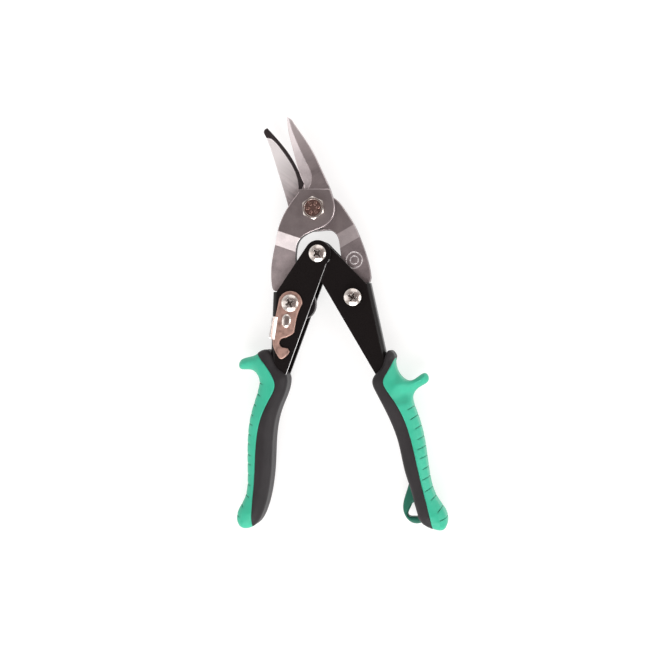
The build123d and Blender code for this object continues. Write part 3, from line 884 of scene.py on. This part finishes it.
LATCH_T = 1.5
LATCH_ROUND = 0.55
LATCH_STEP, LATCH_SPACING = 0.45, 0.9
TAB_FOOT = np.array([-30.5, -74.4])
TAB_RUN = np.array([0.236, 0.972])
TAB_LENGTH = 13.4
TAB_STATIONS = (0, 0.25, 0.6, 1.2, 2.2, 4, 6.7, 9.4, 11.2, 12.2, 12.8, 13.15, TAB_LENGTH)
TAB_T = 1.3
TAB_BEND = radians(62)
TAB_LEAN, TAB_RISE = 0.62, 0.72
TAB_LIP = 0.35
TAB_REACH = 4.6
TAB_START = -1.6
TAB_CORNER = 1.6
TAB_END_SHARE = 0.74
TAB_STEPS = 12
BOSS = np.array([-21.9, -64.3])
BOSS_R = (2.9, 4.2)
BOSS_RISE = 1.15
BOSS_SUNK = 0.02
BOSS_TILT = radians(-12)
BOSS_STEPS = (12, 24, 36, 48, 60, 72, 84, 90)
BOSS_AROUND = 40


def tab_section(share, low):
    """The tab's section as (reach, height), up one side of the bend and down the other."""
    under, over = [], []
    for step in range(TAB_STEPS + 1):
        angle = TAB_BEND * step / TAB_STEPS
        reach = TAB_REACH * share * step / TAB_STEPS
        spine = np.array([TAB_START + reach * cos(angle * TAB_LEAN),
                          low + TAB_T / 2 + reach * sin(angle * TAB_RISE)])
        normal = np.array([-sin(angle), cos(angle)])
        under.append(spine - normal * TAB_T / 2)
        over.append(spine + normal * TAB_T / 2)
    lip = spine + np.array([cos(TAB_BEND), sin(TAB_BEND)]) * TAB_T * TAB_LIP
    return under + [lip] + over[::-1]


def latch_tab(low, peak):
    """Thumb tab: the plate's edge rolled forward in a smooth bend, with rounded corners."""
    points = []
    for place in TAB_STATIONS:
        gap = min(place, TAB_LENGTH - place)
        rounded = sqrt(1 - max(0, 1 - gap / TAB_CORNER)**2)
        section = tab_section(TAB_END_SHARE + (1 - TAB_END_SHARE) * rounded, low)
        for reach, height in section:
            spot = TAB_FOOT + TAB_RUN * place + left_of(TAB_RUN) * reach
            points.append((*spot, min(height, peak)))
    faces = capped_faces(len(TAB_STATIONS), len(section))
    return link_mesh("latch_tab", points, faces, "tab", 50)


def oval_boss(base):
    """Pressed-up oval dome for the thumb."""
    points = [(*BOSS, base + BOSS_RISE)]
    for rise in BOSS_STEPS:
        wide, tall = sin(radians(rise)), cos(radians(rise))
        for step in range(BOSS_AROUND):
            turn = 2 * pi * step / BOSS_AROUND
            offset = (BOSS_R[0] * wide * cos(turn), BOSS_R[1] * wide * sin(turn))
            points.append((*(BOSS + rotated(offset, BOSS_TILT)), base + BOSS_RISE * tall - BOSS_SUNK))
    return link_mesh("latch_boss", points, domed_faces(len(BOSS_STEPS), BOSS_AROUND), "nickel", 60)


def latch():
    """The plated hook plate, with its thumb tab and its dome."""
    low, peak = (corner.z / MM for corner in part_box("latch"))
    loops = [resample(loop, LATCH_STEP) for loop in face_loops("latch", low, -1)[:2]]
    plate = Moulded(loops, low, low + LATCH_T, LATCH_ROUND, spacing=LATCH_SPACING)
    settle(plate.build("latch_plate", "latch"), "latch_body", "plated_latch", "latch")
    settle(latch_tab(low, peak), "latch_body", "plated_latch")
    settle(oval_boss(low + LATCH_T), "latch_body", "plated_fasteners")


# ---------------------------------------------------------------------- screws

HEAD_R = 5.15
HEAD_H = 2.4
RIM_H = 0.9
CROWN_FLAT = 0.02
DOME_REACHES = [*np.arange(0.1, 3.2, 0.1), *np.linspace(3.25, HEAD_R - 0.12, 12)]
DOME_LINEAR = 0.35
SHANK_R = 3.0
NECK_R = 2.3
END_CHAMFER = (0.45, 0.5)
AROUND = 120
CROSS_REACH = 2.75
CROSS_HALF = 0.62
CROSS_DEPTH = 1.05
CROSS_WALL = 0.34
CROSS_TAPER = 0.5
WELL_R = 1.35
WELL_DEPTH = 1.6
WELL_WALL = 0.9
RECESS_SHADE_DEPTH = 0.3


def outside_arm(along, aside):
    """How far a place is outside one pair of tapered arms; below zero is in them."""
    return max(abs(along) - CROSS_REACH + CROSS_TAPER * abs(aside), abs(aside) - CROSS_HALF)


def cross_recess(reach, turn):
    """Depth of a tapered cross recess at a place on the head."""
    u, v = reach * cos(turn), reach * sin(turn)
    outside = min(outside_arm(u, v), outside_arm(v, u))
    arm = CROSS_DEPTH * min(1.0, max(0.0, -outside / CROSS_WALL))
    well = WELL_DEPTH * min(1.0, max(0.0, (WELL_R - reach) / WELL_WALL))
    return max(arm, well)


def head_profile(base):
    """(radius, height) over the domed face of a screw head, from its middle to the rim."""
    dome = HEAD_H - RIM_H - CROWN_FLAT
    profile = []
    for reach in DOME_REACHES:
        swell = sqrt(1 - (reach / (HEAD_R + 0.02))**2)
        rise = DOME_LINEAR * swell + (1 - DOME_LINEAR) * swell**2
        profile.append((reach, base + RIM_H + dome * rise))
    return profile


def side_profile(base, low, neck):
    """(radius, height) from the head's rim down to the screw's chamfered end."""
    rim = [(HEAD_R - 0.03, base + RIM_H - 0.06), (HEAD_R, base + RIM_H - 0.25), (HEAD_R, base + 0.12),
           (HEAD_R - 0.12, base)]
    thin = [(NECK_R, base), (NECK_R, base - neck)] if neck else []
    inset, rise = END_CHAMFER
    return rim + thin + [(SHANK_R, base - neck), (SHANK_R, low + rise), (SHANK_R - inset, low)]


def screw(node, body, turn, neck=0.0):
    """Pan-head screw: domed head with a pressed cross, then its shank and turned end."""
    low, high = (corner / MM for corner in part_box(node))
    centre, base = (low + high) / 2, high.z - HEAD_H
    face = head_profile(base)
    profile = face + side_profile(base, low.z, neck)
    points = [(centre.x, centre.y, high.z - CROWN_FLAT - WELL_DEPTH)]
    for row, (reach, level) in enumerate(profile):
        for step in range(AROUND):
            angle = 2 * pi * step / AROUND
            dip = cross_recess(reach, angle - radians(turn)) if row < len(face) else 0
            points.append((centre.x + reach * cos(angle), centre.y + reach * sin(angle), level - dip))
    made = link_mesh(f"{node}_turned", points, domed_faces(len(profile), AROUND), "nickel", 28)
    # Faces deep in the cross get the darker cross tone: painted shade in the recess.
    made.data.materials.append(FINISH["cross"])
    for polygon in made.data.polygons:
        offset = polygon.center / MM - centre
        reach, angle = sqrt(offset.x**2 + offset.y**2), atan2(offset.y, offset.x)
        if offset.z > 0 and cross_recess(reach, angle - radians(turn)) > RECESS_SHADE_DEPTH:
            polygon.material_index = 1
    settle(made, body, "plated_fasteners", node)


# ---------------------------------------------------------------------- spring

WIRE_R = 0.65
WIRE_SIDES = 14
WIRE_CAP = [(-0.75, 0.66), (-0.35, 0.94)]
COIL_R = 4.6
COIL_PITCH = 1.5
COIL_LEAD = radians(48.6)
COIL_TURNS = 2 + (pi + 2 * COIL_LEAD) / (2 * pi)
COIL_POINTS = int(COIL_TURNS * 40)
SPRING_LEG = np.linspace(0.8, 15.0, 12)


def wire_mesh(name, path):
    """A round wire along a path, with domed ends."""
    heading = np.gradient(path, axis=0)
    heading /= np.linalg.norm(heading, axis=1)[:, None]
    rings = [(path[0] + heading[0] * WIRE_R * gap, heading[0], share) for gap, share in WIRE_CAP]
    rings += [(place, way, 1.0) for place, way in zip(path, heading)]
    rings += [(path[-1] - heading[-1] * WIRE_R * gap, heading[-1], share)
              for gap, share in reversed(WIRE_CAP)]
    side = np.cross(heading[0], [0, 0, 1.0])
    points = []
    for place, way, share in rings:
        side = side - way * (side @ way)
        side /= np.linalg.norm(side)
        other = np.cross(way, side)
        for step in range(WIRE_SIDES):
            turn = 2 * pi * step / WIRE_SIDES
            points.append(place + (side * cos(turn) + other * sin(turn)) * WIRE_R * share)
    return link_mesh(name, points, capped_faces(len(rings), WIRE_SIDES), "spring", 60)


def spring_path(rise):
    """The coil round the handle pivot, with a straight leg at each end."""
    coil = []
    for number in range(COIL_POINTS + 1):
        share = number / COIL_POINTS
        angle = -COIL_LEAD + share * COIL_TURNS * 2 * pi
        coil.append((HANDLE_PIVOT[0] + COIL_R * cos(angle), HANDLE_PIVOT[1] + COIL_R * sin(angle),
                     MID + rise * (share - 0.5)))
    coil = np.array(coil)
    legs = []
    for end, side in ((coil[0], -1), (coil[-1], 1)):
        way = np.array([side * sin(COIL_LEAD), -cos(COIL_LEAD), 0])
        legs.append([end + way * reach for reach in SPRING_LEG])
    return np.vstack([legs[0][::-1], coil, legs[1]])


def handle_spring():
    """Torsion spring round the handle pivot with a leg towards each handle, built once in the rest
    pose and tied to neither handle.
    """
    rise = COIL_PITCH * COIL_TURNS
    wire = wire_mesh("spring_wire", spring_path(rise))
    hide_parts("handle_spring")
    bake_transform(wire)


# ----------------------------------------------------------- finishes on the CAD

WALL = 0.3
SLOPE = (0.5, 0.985)
NEAR = 0.1
JAW_SLANT = radians(24.2)
REAR_TOP = MID - 0.03
REAR_RAISED = MID + 2.5
BLADE_FOOT = 11.3
JAW_BOSS_TOP = (10.5, 12.5)
LAND_FOOT = 11.0
THROAT_TOP = -11.5
JOGGLE_BAND = -15.0
TAIL_BAND = -23.0
SHEAR_DEPTH = (0.5, 0.1)
CHANNEL_LIP = 2.2
CHANNEL_THROAT_TOP = -31
BOLT_RECESS_R = 5.03
BOLT_RECESS_DEPTH = 0.9


def band(place, side):
    """Height of a place across a jaw's slant; side is 1 for a tail that runs to the left."""
    return place.y * cos(JAW_SLANT) + side * place.x * sin(JAW_SLANT)


def jaw_rules(side, tail, joggle):
    """The rules that both jaws share, with their own finishes for tail and joggle."""
    return [
        ("blade", lambda n, c: c.y > BLADE_FOOT),
        (tail, lambda n, c: band(c, side) < TAIL_BAND),
        (joggle, lambda n, c: SLOPE[0] < n.z < SLOPE[1] and band(c, side) < JOGGLE_BAND),
        ("land", lambda n, c: abs(n.z) < WALL and c.y < THROAT_TOP and n.x * side > 0.1),
    ]


def paint_jaws():
    """Each jaw is ground, tumbled and blackened in different places; the throat stays black."""
    low, high = JAW_BOSS_TOP
    paint_node("front_jaw", "boss", jaw_rules(1, "front_tail", "joggle") + [
        # The front jaw's step wall gets the dark land steel: painted shade.
        ("land", lambda n, c: abs(n.z) < WALL and n.y > 0.9 and low < c.y < high),
    ])
    deep, shallow = SHEAR_DEPTH
    paint_node("rear_jaw", "boss", jaw_rules(-1, "tail", "rear_joggle") + [
        ("shear", lambda n, c: n.z > FLAT and REAR_TOP - deep < c.z < REAR_TOP - shallow),
        ("joggle", lambda n, c: n.z > FLAT and band(c, -1) < TAIL_BAND and c.z < REAR_RAISED - NEAR),
        ("land", lambda n, c: n.z > FLAT and c.y > LAND_FOOT and c.z > REAR_TOP - NEAR),
    ])


def paint_channels():
    """Lacquer all over, but for the sheared edges that face into the throat, which get a near-white
    steel tone as a painted highlight.
    """
    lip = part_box("left_channel")[1].z / MM - CHANNEL_LIP
    paint_node("left_channel", "lacquer", [
        ("cut", lambda n, c: abs(n.z) < 0.2 and n.x > 0.7 and c.z > lip and c.y < CHANNEL_THROAT_TOP),
    ])
    paint_node("right_channel", "lacquer")


def paint_hardware():
    """Nickel for the bolt, with its recess in a darker copper tone as painted shade, and zinc for
    what is hidden.
    """
    recess_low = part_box("jaw_bolt")[1].z / MM - BOLT_RECESS_DEPTH
    paint_node("jaw_bolt", "nickel", [
        ("recess", lambda n, c: c.x**2 + c.y**2 < BOLT_RECESS_R**2 and c.z > recess_low),
    ])
    for node in ("jaw_washer", "jaw_nut", "handle_pivot_nut", "left_jaw_nut", "right_jaw_nut",
                 "left_tail_spacers", "right_tail_washers"):
        paint_node(node, "zinc")


# ------------------------------------------------------------------------ scene

FINISH = finishes()
camera()
sky()
floor()
for lamp in SOFTBOXES:
    softbox(*lamp)
bpy.context.scene.view_settings.view_transform = "Standard"

paint_jaws()
paint_channels()
paint_hardware()
grip("left", -1, "left_handle", -99.0, -178.0, (-92.0, -82.0))
grip("right", 1, "right_handle", -120.0, -186.0, (-108.0, -99.0))
hanging_loop()
latch()
screw("handle_pivot_screw", "left_handle", 35)
screw("left_jaw_screw", "left_handle", 20)
screw("right_jaw_screw", "right_handle", 62, 3.6)
handle_spring()
